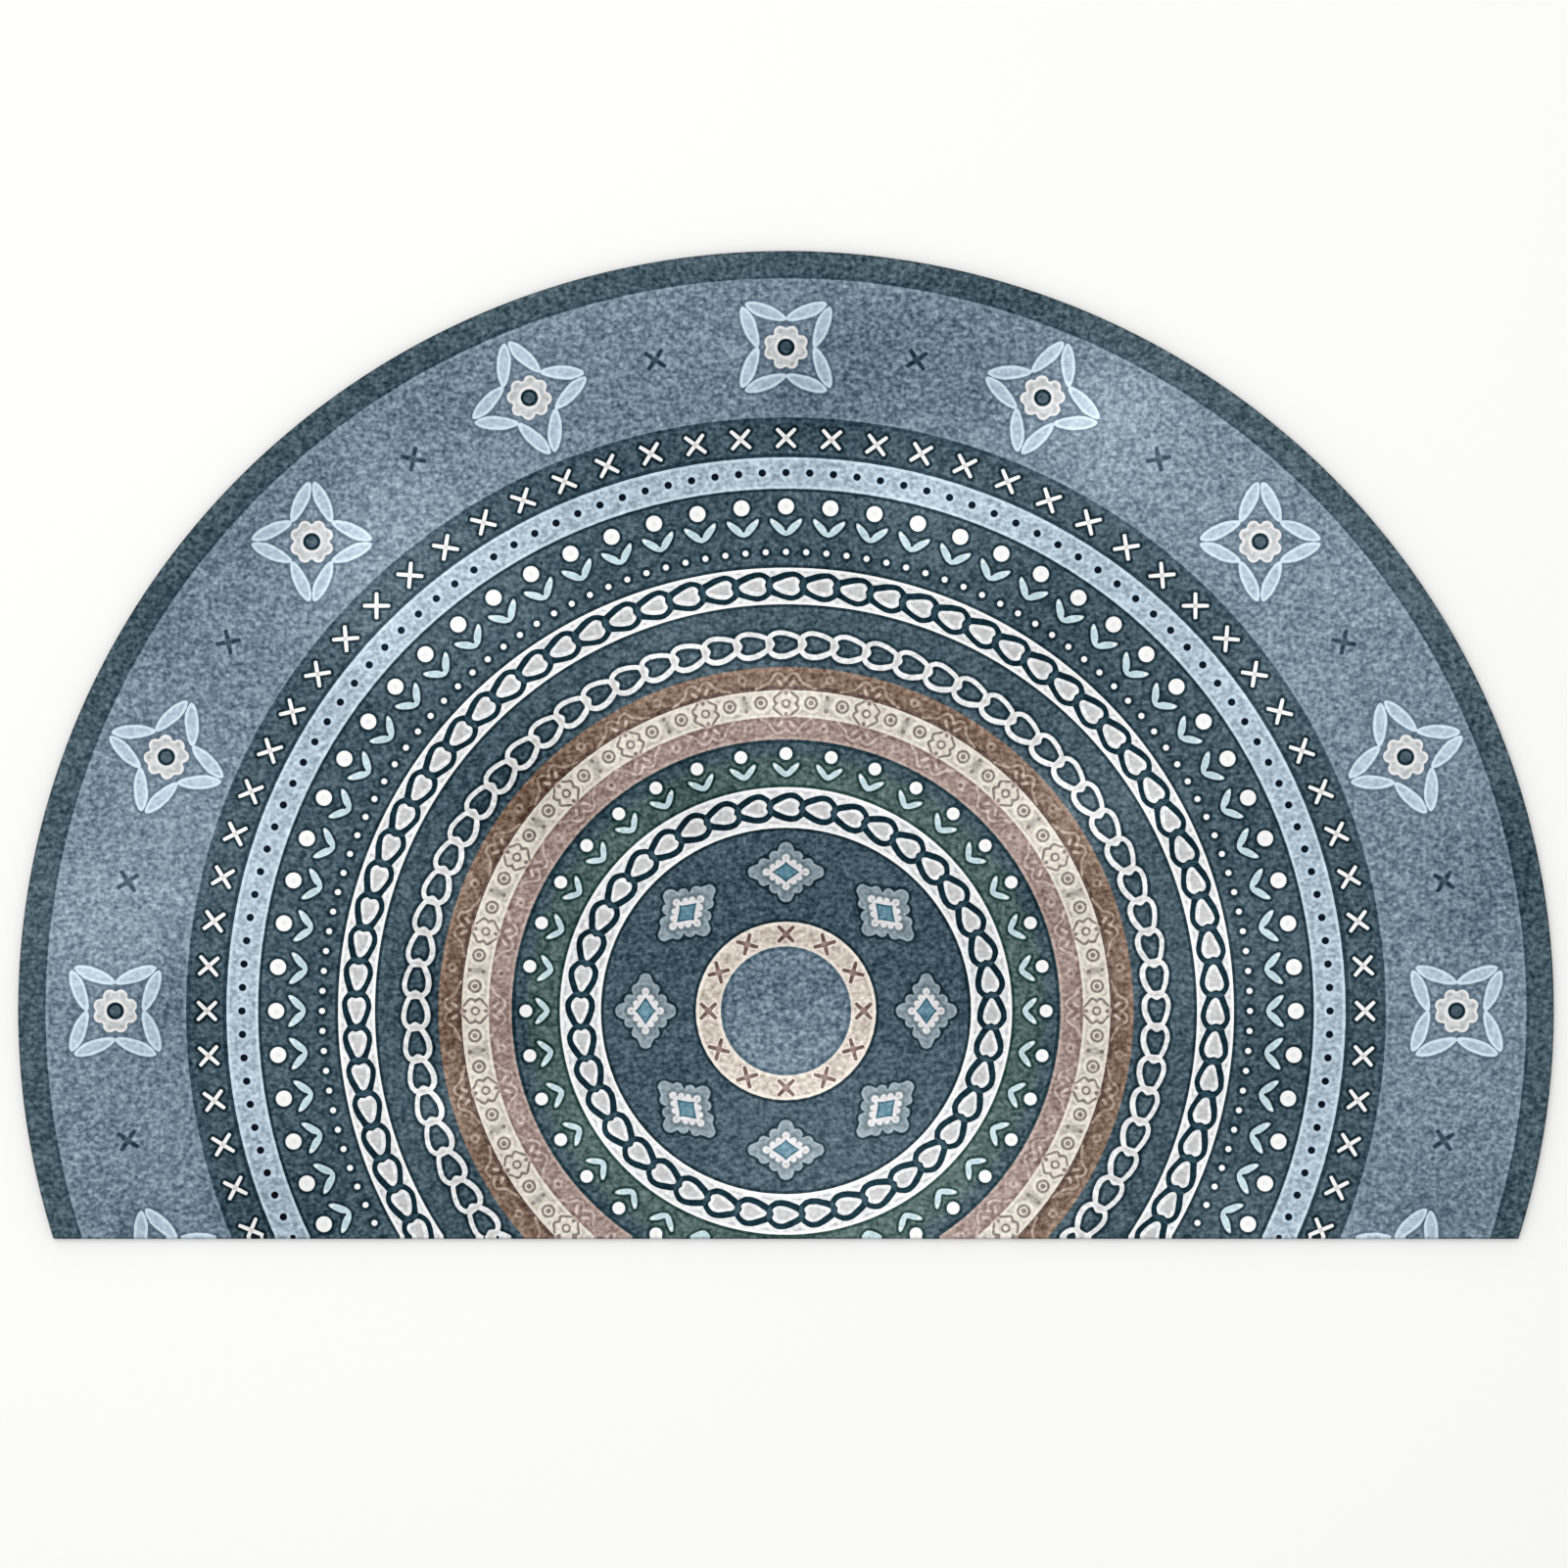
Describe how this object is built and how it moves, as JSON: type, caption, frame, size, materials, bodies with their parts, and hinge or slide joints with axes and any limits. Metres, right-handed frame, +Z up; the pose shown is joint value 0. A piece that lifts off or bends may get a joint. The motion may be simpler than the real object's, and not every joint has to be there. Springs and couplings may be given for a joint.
{
  "type": "half round doormat",
  "caption": "Flat half round doormat of printed low-pile cloth: a wide arc at the back, a straight cut edge at the front, and a flat non-slip underside.",
  "frame": {"origin": "middle of the mat's outline box, on the floor that it lies on", "axes": "+Z up, +Y towards the top of the arc, -Y towards the straight edge, +X to the right along the straight edge"},
  "size_m": [0.9, 0.579, 0.006],
  "materials": {
    "printed_pile": "printed short cut pile, matt"
  },
  "bodies": {
    "root": {"mat": "printed_pile"}
  },
  "joints": []
}
